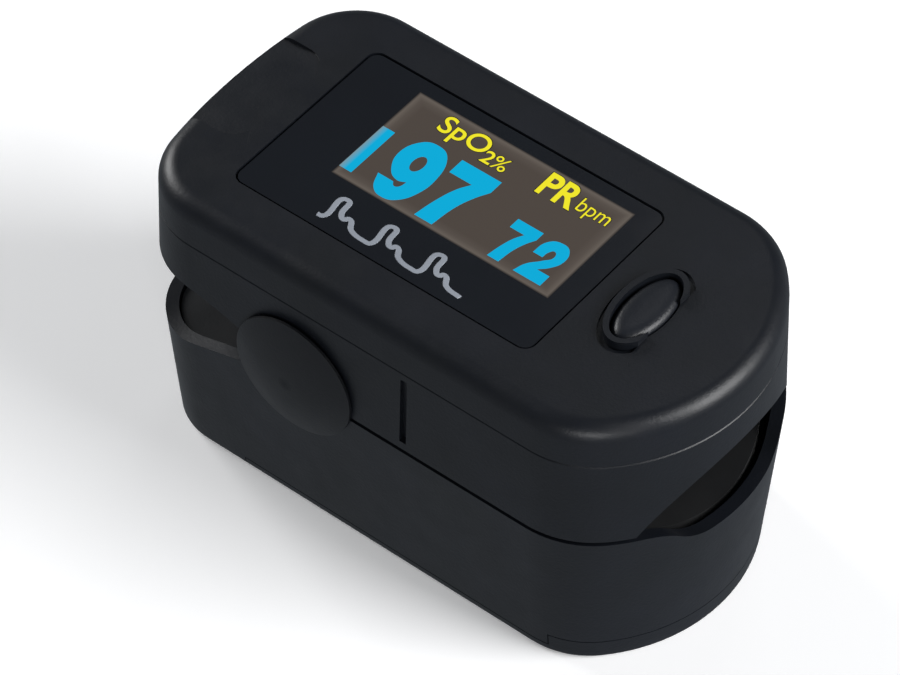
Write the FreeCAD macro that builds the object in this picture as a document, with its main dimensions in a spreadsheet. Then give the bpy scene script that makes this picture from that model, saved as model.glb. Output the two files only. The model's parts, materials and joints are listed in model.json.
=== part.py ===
import FreeCAD, Part
import math
import os
import re
import Sketcher

# Fingertip pulse oximeter: two jaws on a spring hinge, a display and a button in the upper
# jaw, two cells and a sliding door in the lower one.  Millimetres and degrees.  +X points to
# the finger opening, +Z up, and the origin is under the middle of the case on its flat bottom.

SIZES = {
    # case outline, seen from above
    "shell_length": 57.0,
    "shell_width": 30.8,
    "nose_share": 0.5844,
    "front_corner_share": 0.302,
    "rear_bow_radius": 60.0,
    "rear_corner_radius": 7.7,
    # heights of the joints between the shells
    "shell_height": 31.3,
    "parting_z": 17.0,
    "jaw_gap": 0.45,
    "seam_z": 26.8,
    "seam_chamfer": 0.1,
    # walls and the slope of the outer faces
    "wall": 1.2,
    "upper_wall": 1.9,
    "upper_draft": 2.0,
    "lower_draft": 4.2,
    "top_edge_radius": 1.8,
    "bottom_edge_radius": 0.6,
    "fit_gap": 0.1,
    # hinge
    "pivot_x": -8.3,
    "pivot_z": 18.7,
    "pin_radius": 1.5,
    "pin_play": 0.05,
    "pin_inner_y": 8.8,
    "outer_ear_radius": 5.0,
    "ear_sink": 0.05,
    "outer_ear_thickness": 1.6,
    "inner_ear_radius": 4.4,
    "inner_ear_thickness": 1.4,
    "ear_side_gap": 0.15,
    "ear_clearance": 0.3,
    "pin_head_radius": 2.4,
    "pin_head_height": 0.5,
    "cap_radius": 6.3,
    "cap_skirt": 0.25,
    "cap_rise": 1.1,
    "cap_rim": 1.0,
    "spring_wire": 0.65,
    "spring_coil_radius": 2.2,
    "spring_turns": 3,
    "spring_pitch": 1.06,
    "spring_upper_arm": 5.0,
    "spring_upper_slope": 30.0,
    "spring_lower_arm": 5.0,
    "spring_lower_slope": 35.0,
    # rear wedge between the jaws and the dip under the finger
    "wedge_start_x": -12.5,
    "wedge_start_z": 19.3,
    "wedge_bend_x": -21.0,
    "wedge_bend_z": 21.5,
    "wedge_rear_z": 22.0,
    "wedge_arc_radius": 30.0,
    "rim_start_x": -11.5,
    "rim_bend_x": -21.5,
    "rim_bend_z": 13.65,
    "rim_flat_x": -25.5,
    "rim_rear_z": 13.0,
    "rim_arc_radius": 14.0,
    "dip_half": 10.5,
    "dip_flat_half": 3.7,
    "dip_z": 14.4,
    # finger tunnel and its pads
    "arch_radius": 12.5,
    "arch_z": 11.1,
    "tunnel_end_x": -4.0,
    "tunnel_wall": 1.2,
    "pad_thickness": 1.25,
    "pad_gap": 0.05,
    "pad_set_back": 0.9,
    "upper_pad_z": 18.0,
    "pad_stop": 1.0,
    "trough_radius": 24.0,
    "trough_z": 14.1,
    "lower_pad_top_z": 16.7,
    "lower_pad_rear_x": -1.5,
    # electronics bay, board and screws
    "bay_z": 24.8,
    "board_z": 25.8,
    "board_thickness": 1.0,
    "board_x": 1.0,
    "board_length": 46.0,
    "board_width": 18.4,
    "board_corner": 5.0,
    "post_radius": 1.2,
    "screw_x_front": 14.5,
    "screw_x_rear": -19.5,
    "screw_inset": 4.1,
    "boss_radius": 1.9,
    "screw_radius": 0.75,
    "screw_head_radius": 1.4,
    "screw_head_height": 0.9,
    "screw_head_z": 22.0,
    "screw_length": 5.6,
    "ceiling_z": 29.3,
    # window and display
    "window_x": -3.65,
    "window_length": 31.84,
    "window_width": 19.34,
    "window_corner": 1.2,
    "window_gap": 0.2,
    "window_thickness": 0.9,
    "window_sink": 0.1,
    "window_ledge": 1.2,
    "adhesive_thickness": 0.2,
    "panel_x": -2.6,
    "panel_length": 26.8,
    "panel_width": 16.2,
    "panel_thickness": 1.4,
    # power button and its switch
    "key_distance": 5.06,
    "button_half_length": 4.2,
    "button_half_width": 2.0,
    "button_gap": 0.15,
    "button_flange": 0.7,
    "button_flange_height": 0.6,
    "key_rise": 0.6,
    "key_edge_radius": 0.9,
    "button_travel": 0.4,
    "dish_half_length": 5.55,
    "dish_half_width": 3.1,
    "dish_depth": 0.35,
    "collar_width": 0.55,
    "collar_rise": 0.65,
    "collar_reach": 1.84,
    "switch_size": 4.5,
    "switch_height": 1.2,
    "plunger_radius": 1.1,
    "plunger_height": 1.2,
    # optics
    "optic_x": 8.0,
    "optic_length": 6.0,
    "optic_width": 4.6,
    "optic_margin": 0.8,
    # thumb rest and side groove
    "thumb_distance": 2.43,
    "thumb_width": 12.6,
    "thumb_slope": 6.5,
    "thumb_corner": 2.2,
    "groove_x": 3.5,
    "groove_width": 0.7,
    "groove_depth": 0.35,
    "groove_low_z": 18.3,
    "groove_high_z": 26.0,
    # battery bay
    "floor_thickness": 1.6,
    "cell_radius": 5.2,
    "cell_length": 44.5,
    "cell_nub": 0.8,
    "cell_nub_radius": 1.9,
    "cell_y": 5.3,
    "cell_z": 6.55,
    "cell_start": 20.3,
    "contact_thickness": 0.3,
    "contact_size": 7.0,
    "contact_wall": 0.6,
    "spring_length": 1.8,
    "contact_spring_wide": 2.9,
    "contact_spring_narrow": 1.5,
    "contact_spring_wire": 0.4,
    "contact_spring_turns": 2.5,
    "deck_z": 11.85,
    "deck_thickness": 0.75,
    "deck_screw_x": 13.0,
    "deck_screw_edge": 1.8,
    "deck_boss_radius": 1.2,
    # sliding door
    "door_thickness": 1.0,
    "door_rear_x": -15.6,
    "slide_gap": 0.1,
    "lip_height": 2.4,
    "lip_x": 18.5,
    "tongue_half": 9.4,
    "tongue_rear_x": -24.6,
    "rail_half": 10.9,
    "rail_front_x": 15.5,
    "hook_half": 11.7,
    "hook_web": 0.8,
    "hook_thickness": 0.5,
    "grip_x": 4.0,
    "grip_pitch": 2.0,
    "grip_width": 0.9,
    "grip_length": 11.0,
    "grip_depth": 0.3,
    # cable between the jaws
    "cable_width": 4.0,
    "cable_thickness": 0.15,
    "cable_x": -9.4,
    "cable_bulge": 1.6,
}

# Places that follow from the sizes above, written in terms of them.
PLACES = {
    "nose_radius": "shell_width * nose_share",
    "front_corner_radius": "shell_width * front_corner_share",
    "nose_tip": "shell_length / 2",
    "upper_z": "parting_z + jaw_gap",
    "reach": "shell_length",
    "dip_run": "dip_half - dip_flat_half",
    "dip_depth": "parting_z - dip_z",
    "dip_arc": "(dip_run * dip_run + dip_depth * dip_depth) / (4 * dip_depth)",
    "cover_inset": "(seam_z - upper_z) * tan(upper_draft)",
    "bottom_inset": "parting_z * tan(lower_draft)",
    "deck_inset": "wall + (parting_z - deck_z) * tan(lower_draft) + fit_gap",
    "deck_top_z": "deck_z + deck_thickness",
    "board_top_z": "board_z + board_thickness",
    "window_top_z": "shell_height - window_sink",
    "window_low_z": "window_top_z - window_thickness",
    "panel_top_z": "window_low_z - adhesive_thickness",
    "panel_low_z": "panel_top_z - panel_thickness",
    "opening_length": "window_length - 2 * window_ledge",
    "opening_width": "window_width - 2 * window_ledge",
    "flange_top_z": "ceiling_z - fit_gap",
    "flange_low_z": "flange_top_z - button_flange_height",
    "plunger_low_z": "flange_low_z - plunger_height",
    "switch_top_z": "board_top_z + switch_height",
    "pad_outline": "wall + pad_set_back",
    "upper_pad_radius": "arch_radius - pad_gap",
    "upper_pad_inner": "upper_pad_radius - pad_thickness",
    "upper_pad_crown_z": "arch_z + upper_pad_inner",
    "arch_crown_z": "arch_z + arch_radius",
    "cell_rear_x": "cell_front_x - cell_length",
    "spring_rear_x": "cell_rear_x - spring_length",
    "tray_x": "cell_front_x + contact_thickness",
    "outer_ear_outer_y": "shell_width / 2 - ear_sink",
    "outer_ear_inner_y": "outer_ear_outer_y - outer_ear_thickness",
    "inner_ear_outer_y": "outer_ear_inner_y - ear_side_gap",
    "inner_ear_inner_y": "inner_ear_outer_y - inner_ear_thickness",
    "screw_y": "shell_width / 2 - screw_inset",
    "deck_screw_y": "shell_width / 2 - wall - deck_screw_edge",
    "button_x": "window_x + window_length / 2 + key_distance",
    "key_top_z": "shell_height + key_rise",
    "collar_top_z": "shell_height + collar_rise",
    "collar_end_x": "button_x + collar_reach",
    "thumb_x": "window_x - window_length / 2 - thumb_distance",
    "cell_front_x": "wall + cell_start",
    "cap_base_y": "shell_width / 2 + fit_gap",
}

doc = FreeCAD.newDocument("pulse_oximeter")
V = FreeCAD.Vector
UP = V(0, 0, 1)


def fill_sheet():
    """Write every driving size into the spreadsheet under its own alias."""
    sheet = doc.addObject("Spreadsheet::Sheet", "Dims")
    for row, (name, value) in enumerate(SIZES.items(), 1):
        sheet.set("A%d" % row, name)
        sheet.set("B%d" % row, str(value))
        sheet.setAlias("B%d" % row, name)
    doc.recompute()
    return sheet


def bound(text):
    """Turn a formula in plain names into one that reads the spreadsheet."""
    def swap(match):
        word = match.group(0)
        if word in PLACES:
            return "(" + bound(PLACES[word]) + ")"
        if word in SIZES:
            return "Dims." + word
        return word
    return re.sub(r"[a-z][a-z_]*[a-z]", swap, str(text))


def value(text):
    """The present number of a formula."""
    return float(sheet.evalExpression(bound(text)))


sheet = fill_sheet()

# ---- sketches ---------------------------------------------------------------------------


def set_datum(sketch, constraint, text):
    """Add a dimension to a sketch and bind it to the spreadsheet."""
    index = sketch.addConstraint(constraint)
    sketch.setExpression("Constraints[%d]" % index, bound(text))


def pin_point(sketch, geometry, point, x, y):
    """Hold a sketch point at a place given by two formulas."""
    set_datum(sketch, Sketcher.Constraint("DistanceX", -1, 1, geometry, point, value(x)), x)
    set_datum(sketch, Sketcher.Constraint("DistanceY", -1, 1, geometry, point, value(y)), y)


def arc_between(start, end, radius):
    """The shorter arc that runs anticlockwise from start to end."""
    chord = end.sub(start)
    height = math.sqrt(radius * radius - chord.Length ** 2 / 4)
    centre = (start + end) * 0.5 + V(-chord.y, chord.x, 0).normalize() * height
    from_angle = math.atan2(start.y - centre.y, start.x - centre.x)
    to_angle = math.atan2(end.y - centre.y, end.x - centre.x)
    if to_angle < from_angle:
        to_angle += 2 * math.pi
    return Part.ArcOfCircle(Part.Circle(centre, UP, radius), from_angle, to_angle)


def path(*corners):
    """A closed outline.  A corner is (x, y), or (x, y, radius, side) where an arc leaves it.

    The side is that of the arc's centre, seen along the outline.  A sketch keeps every arc
    anticlockwise, so one with its centre on the right is stored from its far end.
    """
    def draw(sketch):
        first = sketch.GeometryCount
        count = len(corners)
        points = [V(value(corner[0]), value(corner[1]), 0) for corner in corners]
        turned = [len(corner) == 4 and corner[3] == "right" for corner in corners]
        for i, corner in enumerate(corners):
            ends = [points[i], points[(i + 1) % count]]
            if turned[i]:
                ends.reverse()
            if len(corner) == 4:
                sketch.addGeometry(arc_between(*ends, value(corner[2])))
            else:
                sketch.addGeometry(Part.LineSegment(*ends))
        for i, corner in enumerate(corners):
            following = (i + 1) % count
            tail = 1 if turned[i] else 2
            head = 2 if turned[following] else 1
            sketch.addConstraint(Sketcher.Constraint("Coincident", first + i, tail, first + following, head))
            pin_point(sketch, first + i, 2 if turned[i] else 1, corner[0], corner[1])
        for i, corner in enumerate(corners):
            if len(corner) == 4:
                radius = Sketcher.Constraint("Radius", first + i, value(corner[2]))
                set_datum(sketch, radius, corner[2])
    return draw


def box(x_low, y_low, x_high, y_high):
    """A rectangle between two corners."""
    return path((x_low, y_low), (x_high, y_low), (x_high, y_high), (x_low, y_high))


def centred(x, y, length, width):
    """A rectangle about a centre."""
    return box(f"({x}) - ({length}) / 2", f"({y}) - ({width}) / 2",
               f"({x}) + ({length}) / 2", f"({y}) + ({width}) / 2")


def rounded(x, y, length, width, radius):
    """A rectangle about a centre with round corners."""
    x_low = f"({x}) - ({length}) / 2"
    x_high = f"({x}) + ({length}) / 2"
    y_low = f"({y}) - ({width}) / 2"
    y_high = f"({y}) + ({width}) / 2"
    radius = f"({radius})"
    return path((f"{x_low} + {radius}", y_low), (f"{x_high} - {radius}", y_low, radius, "left"),
                (x_high, f"{y_low} + {radius}"), (x_high, f"{y_high} - {radius}", radius, "left"),
                (f"{x_high} - {radius}", y_high), (f"{x_low} + {radius}", y_high, radius, "left"),
                (x_low, f"{y_high} - {radius}"), (x_low, f"{y_low} + {radius}", radius, "left"))


def circle(x, y, radius):
    """A full circle."""
    def draw(sketch):
        index = sketch.addGeometry(Part.Circle(V(value(x), value(y), 0), UP, value(radius)))
        pin_point(sketch, index, 3, x, y)
        set_datum(sketch, Sketcher.Constraint("Radius", index, value(radius)), radius)
    return draw


def oval(x, half_x, half_y):
    """An ellipse on the X axis of the sketch, longer along Y."""
    def draw(sketch):
        centre = V(value(x), 0, 0)
        tip = centre + V(0, value(half_y), 0)
        side = centre + V(value(half_x), 0, 0)
        index = sketch.addGeometry(Part.Ellipse(tip, side, centre))
        pin_point(sketch, index, 3, x, "0")
        sketch.exposeInternalGeometry(index)
        sketch.addConstraint(Sketcher.Constraint("Vertical", index + 1))
        long_axis = Sketcher.Constraint("Distance", index + 1, 2 * value(half_y))
        set_datum(sketch, long_axis, f"2 * ({half_y})")
        short_axis = Sketcher.Constraint("Distance", index + 2, 2 * value(half_x))
        set_datum(sketch, short_axis, f"2 * ({half_x})")
    return draw


def outline(inset):
    """The case seen from above, moved inward by an inset.

    A wide arc round the nose runs through two tighter corner arcs into the straight sides,
    and the rear is a slightly bowed edge between two corner arcs.
    """
    half = f"shell_width / 2 - ({inset})"
    nose = f"nose_radius - ({inset})"
    corner = f"front_corner_radius - ({inset})"
    bow = f"rear_bow_radius - ({inset})"
    rear = f"rear_corner_radius - ({inset})"

    def draw(sketch):
        first = sketch.GeometryCount
        nose_x = value("nose_tip - nose_radius")
        bow_x = value("rear_bow_radius - nose_tip")
        corner_y = value("shell_width / 2 - front_corner_radius")
        rear_y = value("shell_width / 2 - rear_corner_radius")
        corner_x = nose_x + math.sqrt(value("nose_radius - front_corner_radius") ** 2 - corner_y ** 2)
        rear_x = bow_x - math.sqrt(value("rear_bow_radius - rear_corner_radius") ** 2 - rear_y ** 2)
        lean = math.atan2(corner_y, corner_x - nose_x)
        back = math.pi - math.atan2(rear_y, bow_x - rear_x)
        quarter = math.pi / 2
        side = value(half)

        def arc(x, y, radius, start, end):
            return Part.ArcOfCircle(Part.Circle(V(x, y, 0), UP, value(radius)), start, end)

        sketch.addGeometry([
            arc(nose_x, 0, nose, -lean, lean),
            arc(corner_x, corner_y, corner, lean, quarter),
            Part.LineSegment(V(corner_x, side, 0), V(rear_x, side, 0)),
            arc(rear_x, rear_y, rear, quarter, back),
            arc(bow_x, 0, bow, back, 2 * math.pi - back),
            arc(rear_x, -rear_y, rear, 2 * math.pi - back, 3 * quarter),
            Part.LineSegment(V(rear_x, -side, 0), V(corner_x, -side, 0)),
            arc(corner_x, -corner_y, corner, -quarter, -lean),
        ])
        for i in range(8):
            sketch.addConstraint(Sketcher.Constraint("Tangent", first + i, 2, first + (i + 1) % 8, 1))
        for line in (2, 6):
            sketch.addConstraint(Sketcher.Constraint("Horizontal", first + line))
        for arc_index in (0, 4):
            sketch.addConstraint(Sketcher.Constraint("PointOnObject", first + arc_index, 3, -1))
        sketch.addConstraint(Sketcher.Constraint("Equal", first + 1, first + 7))
        sketch.addConstraint(Sketcher.Constraint("Equal", first + 3, first + 5))
        for index, radius in ((0, nose), (1, corner), (3, rear), (4, bow)):
            set_datum(sketch, Sketcher.Constraint("Radius", first + index, value(radius)), radius)
        for index, place in ((0, "nose_tip - nose_radius"), (4, "rear_bow_radius - nose_tip")):
            centre = Sketcher.Constraint("DistanceX", -1, 1, first + index, 3, value(place))
            set_datum(sketch, centre, place)
        for index, text in ((2, half), (6, f"-({half})")):
            level = Sketcher.Constraint("DistanceY", -1, 1, first + index, 1, value(text))
            set_datum(sketch, level, text)
    return draw


# ---- features ---------------------------------------------------------------------------


def new_body(label):
    """An empty body that becomes one node."""
    body = doc.addObject("PartDesign::Body", label)
    body.Label = label
    return body


def refresh(body):
    """Recompute a body's newest feature, then the body."""
    body.Tip.recompute()
    body.recompute()


def origin_plane(body, role):
    """One of a body's own origin planes."""
    return next(item for item in body.Origin.OriginFeatures if item.Role == role)


def new_sketch(body, plane, level, shapes):
    """A sketch on an origin plane of the body, moved out along its normal to a level."""
    count = len(body.Group)
    sketch = body.newObject("Sketcher::SketchObject", f"{body.Label}_sketch_{count}")
    sketch.AttachmentSupport = (origin_plane(body, plane), [""])
    sketch.MapMode = "FlatFace"
    # the XZ plane faces -Y, so a level along +Y is a negative offset there
    sign = "-" if plane == "XZ_Plane" else ""
    sketch.setExpression("AttachmentOffset.Base.z", bound(f"{sign}({level})"))
    for shape in shapes:
        shape(sketch)
    sketch.recompute()
    if sketch.solve() != 0:
        raise ValueError(f"{sketch.Label} can't be solved")
    return sketch


def extrude(body, plane, start, end, shapes, cut=False, taper=None):
    """Pad or pocket from one level to another along the plane's world axis."""
    sketch = new_sketch(body, plane, start, shapes)
    kind = "Pocket" if cut else "Pad"
    before = body.Shape.Volume if body.Tip else 0.0
    feature = body.newObject("PartDesign::" + kind, f"{body.Label}_{kind}_{len(body.Group)}")
    feature.Profile = sketch
    forward = value(end) > value(start)
    along_normal = forward != (plane == "XZ_Plane")
    feature.Reversed = along_normal if cut else not along_normal
    length = f"({end}) - ({start})" if forward else f"({start}) - ({end})"
    feature.setExpression("Length", bound(length))
    if taper:
        feature.setExpression("TaperAngle", bound(taper))
    refresh(body)
    change = body.Shape.Volume - before
    if (change >= -1e-6) == cut:
        raise ValueError(f"{feature.Label} changed nothing")
    return feature


def cut(body, plane, start, end, *shapes, taper=None):
    """Pocket the shapes out of the body."""
    return extrude(body, plane, start, end, shapes, cut=True, taper=taper)


def pad(body, plane, start, end, *shapes, taper=None):
    """Pad the shapes onto the body."""
    return extrude(body, plane, start, end, shapes, taper=taper)


def level_edges(body, level):
    """Names of the body's edges that lie flat at one height."""
    height = value(level)
    names = []
    for index, edge in enumerate(body.Shape.Edges, 1):
        bounds = edge.BoundBox
        if abs(bounds.ZMin - height) < 1e-4 and abs(bounds.ZMax - height) < 1e-4:
            names.append("Edge%d" % index)
    return names


def soften(body, names, size, kind="Fillet"):
    """Fillet or chamfer the named edges of the body so far."""
    previous = body.Tip
    feature = body.newObject("PartDesign::" + kind, f"{body.Label}_{kind}_{len(body.Group)}")
    feature.Base = (previous, names)
    feature.setExpression("Radius" if kind == "Fillet" else "Size", bound(size))
    refresh(body)
    return feature


def revolve(body, *shapes):
    """Turn a sketch on the body's XZ plane about its own Z axis."""
    sketch = new_sketch(body, "XZ_Plane", "0", shapes)
    feature = body.newObject("PartDesign::Revolution", f"{body.Label}_turned")
    feature.Profile = sketch
    feature.ReferenceAxis = (sketch, ["V_Axis"])
    feature.Angle = 360
    refresh(body)
    return feature


def place(item, x, y, z, axis=None, angle=0):
    """Put an object at a place given by formulas, turned about an axis."""
    rotation = FreeCAD.Rotation(axis, angle) if axis else FreeCAD.Rotation()
    item.Placement = FreeCAD.Placement(V(0, 0, 0), rotation)
    for direction, text in (("x", x), ("y", y), ("z", z)):
        item.setExpression(f"Placement.Base.{direction}", bound(text))


def block(label, x, y, z, length, width, height):
    """A box about a centre in X and Y that stands on z."""
    item = doc.addObject("Part::Box", label)
    item.Label = label
    for name, text in (("Length", length), ("Width", width), ("Height", height)):
        item.setExpression(name, bound(text))
    place(item, f"({x}) - ({length}) / 2", f"({y}) - ({width}) / 2", z)
    return item


def disc(label, x, y, z, radius, height):
    """An upright cylinder that stands on z."""
    item = doc.addObject("Part::Cylinder", label)
    item.Label = label
    item.setExpression("Radius", bound(radius))
    item.setExpression("Height", bound(height))
    place(item, x, y, z)
    return item


def group(label, items):
    """Separate solids that share one node."""
    item = doc.addObject("Part::Compound", label)
    item.Label = label
    item.Links = items
    return item


def coded(label, shape):
    """A piece whose shape is worked out in code from the sheet's sizes."""
    item = doc.addObject("Part::Feature", label)
    item.Label = label
    item.Shape = shape
    item.Placement = FreeCAD.Placement()
    return item


def sides():
    """The two sides of the case: a name and the sign of Y."""
    return (("left", 1), ("right", -1))


def span_y(sign, inner, outer):
    """The Y range of something on one side, low value first."""
    return (f"{inner}", f"{outer}") if sign > 0 else (f"-({outer})", f"-({inner})")


# ---- lower jaw --------------------------------------------------------------------------


def make_lower_case():
    """The tub: sloped walls, a rim that falls at the rear and dips at the nose, two ears."""
    body = new_body("lower_case")
    pad(body, "XY_Plane", "parting_z", "0", outline("0"), taper="-lower_draft")
    soften(body, level_edges(body, "0"), "bottom_edge_radius")
    cut(body, "XY_Plane", "parting_z", "floor_thickness", outline("wall"), taper="-lower_draft")
    cut_rear_rim(body)
    cut_finger_dip(body)
    for name, sign in sides():
        low, high = span_y(sign, "outer_ear_inner_y", "outer_ear_outer_y")
        pad(body, "XZ_Plane", low, high, circle("pivot_x", "pivot_z", "outer_ear_radius"))
        cut(body, "XZ_Plane", low, high, circle("pivot_x", "pivot_z", "pin_radius"))
        add_deck_boss(body, sign)
    cut_door_way(body)


def cut_rear_rim(body):
    """Lower the rim behind the hinge, so that the jaws can be squeezed together there."""
    cut(body, "XZ_Plane", "-reach", "reach",
        path(("rim_start_x", "parting_z"), ("rim_bend_x", "rim_bend_z", "rim_arc_radius", "right"),
             ("rim_flat_x", "rim_rear_z"), ("-reach", "rim_rear_z"),
             ("-reach", "parting_z + jaw_gap"), ("rim_start_x", "parting_z + jaw_gap")))


def cut_finger_dip(body):
    """The dip in the nose rim: flat in the middle, with an S curve up to the rim each side."""
    half_run = "dip_flat_half + dip_run / 2"
    half_way = "(parting_z + dip_z) / 2"
    over = "parting_z + jaw_gap"
    cut(body, "YZ_Plane", "nose_tip / 2", "reach",
        path(("-dip_half", "parting_z", "dip_arc", "right"), (f"-({half_run})", half_way, "dip_arc", "left"),
             ("-dip_flat_half", "dip_z"), ("dip_flat_half", "dip_z", "dip_arc", "left"),
             (half_run, half_way, "dip_arc", "right"), ("dip_half", "parting_z"),
             ("dip_half", over), ("-dip_half", over)))


def add_deck_boss(body, sign):
    """A screw boss against each side wall, under the deck."""
    y = f"{sign} * deck_screw_y"
    base = "deck_z - 5"
    pad(body, "XY_Plane", base, "deck_z", circle("deck_screw_x", y, "deck_boss_radius"))
    cut(body, "XY_Plane", base, "deck_z", circle("deck_screw_x", y, "screw_radius"))


def cut_door_way(body):
    """Room for the door plate, its nose lip, its hooks and its tongue."""
    top = "door_thickness + slide_gap"
    lip_top = "lip_height + slide_gap"
    cut(body, "XY_Plane", "0", top, box("door_rear_x - slide_gap", "-reach", "reach", "reach"))
    cut(body, "XY_Plane", "0", lip_top, box("lip_x - slide_gap", "-reach", "reach", "reach"))
    front = "rail_front_x + slide_gap"
    hooks = "hook_half + slide_gap"
    cut(body, "XY_Plane", "0", lip_top,
        path(("door_rear_x - slide_gap", "-rail_half"), (front, "-rail_half"), (front, f"-({hooks})"),
             ("lip_x", f"-({hooks})"), ("lip_x", hooks), (front, hooks), (front, "rail_half"),
             ("door_rear_x - slide_gap", "rail_half")))
    tongue = "tongue_half + slide_gap"
    cut(body, "XY_Plane", "0", "floor_thickness",
        box("tongue_rear_x - slide_gap", f"-({tongue})", "door_rear_x", tongue))


def make_lower_deck():
    """The roof over the cells, with end walls for the contacts and the finger stop."""
    body = new_body("lower_deck")
    pad(body, "XY_Plane", "deck_z", "deck_top_z", outline("deck_inset"))
    wall_y = "cell_y + contact_size / 2"
    pad(body, "XY_Plane", "cell_z - contact_size / 2", "deck_z",
        box("tray_x", f"-({wall_y})", "tray_x + contact_wall", wall_y))
    rear = "spring_rear_x - contact_thickness"
    pad(body, "XY_Plane", "cell_z - contact_size / 2 + 1", "deck_z",
        box(f"{rear} - contact_wall", f"-({wall_y})", rear, wall_y))
    pad(body, "XY_Plane", "deck_top_z", "lower_pad_top_z - 1",
        box("lower_pad_rear_x - tunnel_wall - fit_gap", "-pin_inner_y", "lower_pad_rear_x - fit_gap",
            "pin_inner_y"))
    cut(body, "XY_Plane", "deck_z", "deck_top_z", centred("optic_x", "0", "optic_length", "optic_width"))
    cut(body, "XY_Plane", "deck_z", "deck_top_z",
        centred("cable_x", "0", "6 * cable_thickness", "cable_width + 1"))
    for name, sign in sides():
        y = f"{sign} * deck_screw_y"
        cut(body, "XY_Plane", "deck_z", "deck_top_z", circle("deck_screw_x", y, "screw_radius"))
        low, high = span_y(sign, "outer_ear_inner_y - 0.4", "reach")
        cut(body, "XY_Plane", "deck_z", "deck_top_z",
            box("pivot_x - outer_ear_radius", low, "pivot_x + outer_ear_radius", high))


def make_lower_finger_pad():
    """A soft trough that follows the nose, open in the middle for the light sensor."""
    body = new_body("lower_finger_pad")
    pad(body, "XY_Plane", "deck_top_z", "lower_pad_top_z", outline("pad_outline"))
    cut(body, "XY_Plane", "deck_top_z", "lower_pad_top_z", box("-reach", "-reach", "lower_pad_rear_x", "reach"))
    cut(body, "YZ_Plane", "-reach", "reach", circle("0", "trough_z + trough_radius", "trough_radius"))
    cut(body, "XY_Plane", "deck_top_z", "trough_z + 1",
        centred("optic_x", "0", "optic_length + fit_gap", "optic_width + fit_gap"))
    for name, sign in sides():
        y = f"{sign} * deck_screw_y"
        cut(body, "XY_Plane", "deck_top_z", "deck_top_z + screw_head_height",
            circle("deck_screw_x", y, "screw_head_radius + fit_gap"))


def make_sensor():
    """The light sensor on its board, under a clear window in the lower pad."""
    body = new_body("sensor_window")
    pad(body, "XY_Plane", "deck_top_z", "trough_z - fit_gap",
        rounded("optic_x", "0", "optic_length", "optic_width", "optic_margin"))
    inner = ("optic_length - 2 * optic_margin", "optic_width - 2 * optic_margin")
    block("photodiode", "optic_x", "0", "deck_z", *inner, "deck_thickness")
    block("sensor_board", "optic_x", "0", "deck_z - 0.6", "optic_length + 2 * optic_margin", "optic_width", "0.6")


def make_cells():
    """Two AAA cells side by side, pointing opposite ways, each with its raised terminal."""
    for name, sign in sides():
        body = new_body("battery_" + name)
        revolve(body, path(("0", "0"), ("cell_radius", "0"), ("cell_radius", "cell_length - cell_nub"),
                           ("cell_nub_radius", "cell_length - cell_nub"), ("cell_nub_radius", "cell_length"),
                           ("0", "cell_length")))
        start = "cell_rear_x" if sign > 0 else "cell_front_x"
        place(body, start, f"{sign} * cell_y", "cell_z", V(0, 1, 0), 90 * sign)


def conical_spring(x, y, z):
    """A cone of wire along +X, from its wide end to its narrow one."""
    length = value("spring_length")
    wide = value("contact_spring_wide")
    narrow = value("contact_spring_narrow")
    wire = value("contact_spring_wire")
    turns = value("contact_spring_turns")
    points = []
    steps = int(turns * 16)
    for step in range(steps + 1):
        part = step / steps
        angle = 2 * math.pi * turns * part
        radius = wide + (narrow - wide) * part
        along = wire / 2 + (length - wire) * part
        points.append(V(x + along, y + radius * math.cos(angle), z + radius * math.sin(angle)))
    return wire_solid(points, wire)


def make_contacts():
    """Springs and a bridge plate at the rear of the cells, two plates at the front."""
    springs = [conical_spring(value("spring_rear_x"), value(f"{sign} * cell_y"), value("cell_z"))
               for name, sign in sides()]
    coded("contact_springs", Part.makeCompound(springs))
    thick = "contact_thickness"
    block("contact_bridge", "spring_rear_x - contact_thickness / 2", "0",
          "cell_z - contact_size / 2 + 1", thick, "2 * cell_y + contact_size - 1", "contact_size - 1")
    group("contact_plates", [block("contact_plate_" + name, "cell_front_x + contact_thickness / 2",
                                   f"{sign} * cell_y", "cell_z - contact_size / 2", thick,
                                   "contact_size - 1", "contact_size") for name, sign in sides()])


def make_hinge():
    """Per side: a headed pin, a domed cap over it and a torsion spring on its inner end."""
    for name, sign in sides():
        turn = (V(1, 0, 0), -90 * sign)
        pin = new_body("hinge_pin_" + name)
        revolve(pin, path(("0", "0"), ("pin_radius", "0"), ("pin_radius", "outer_ear_outer_y - pin_inner_y"),
                          ("pin_head_radius", "outer_ear_outer_y - pin_inner_y"),
                          ("pin_head_radius", "outer_ear_outer_y - pin_inner_y + pin_head_height"),
                          ("0", "outer_ear_outer_y - pin_inner_y + pin_head_height")))
        place(pin, "pivot_x", f"{sign} * pin_inner_y", "pivot_z", *turn)
        cap = new_body("hinge_cap_" + name)
        dome = "(cap_radius * cap_radius + cap_rise * cap_rise) / (2 * cap_rise)"
        hollow = "pin_head_height + fit_gap - (cap_base_y - outer_ear_outer_y)"
        stem = "-(cap_base_y - outer_ear_outer_y)"
        revolve(cap, path(("0", hollow), ("pin_head_radius + fit_gap", hollow),
                          ("pin_head_radius + fit_gap", stem), ("pin_head_radius + cap_rim", stem),
                          ("pin_head_radius + cap_rim", "0"), ("cap_radius", "0"),
                          ("cap_radius", "cap_skirt", dome, "left"), ("0", "cap_skirt + cap_rise")))
        place(cap, "pivot_x", f"{sign} * cap_base_y", "pivot_z", *turn)
        coded("torsion_spring_" + name, torsion_spring(sign))


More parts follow.
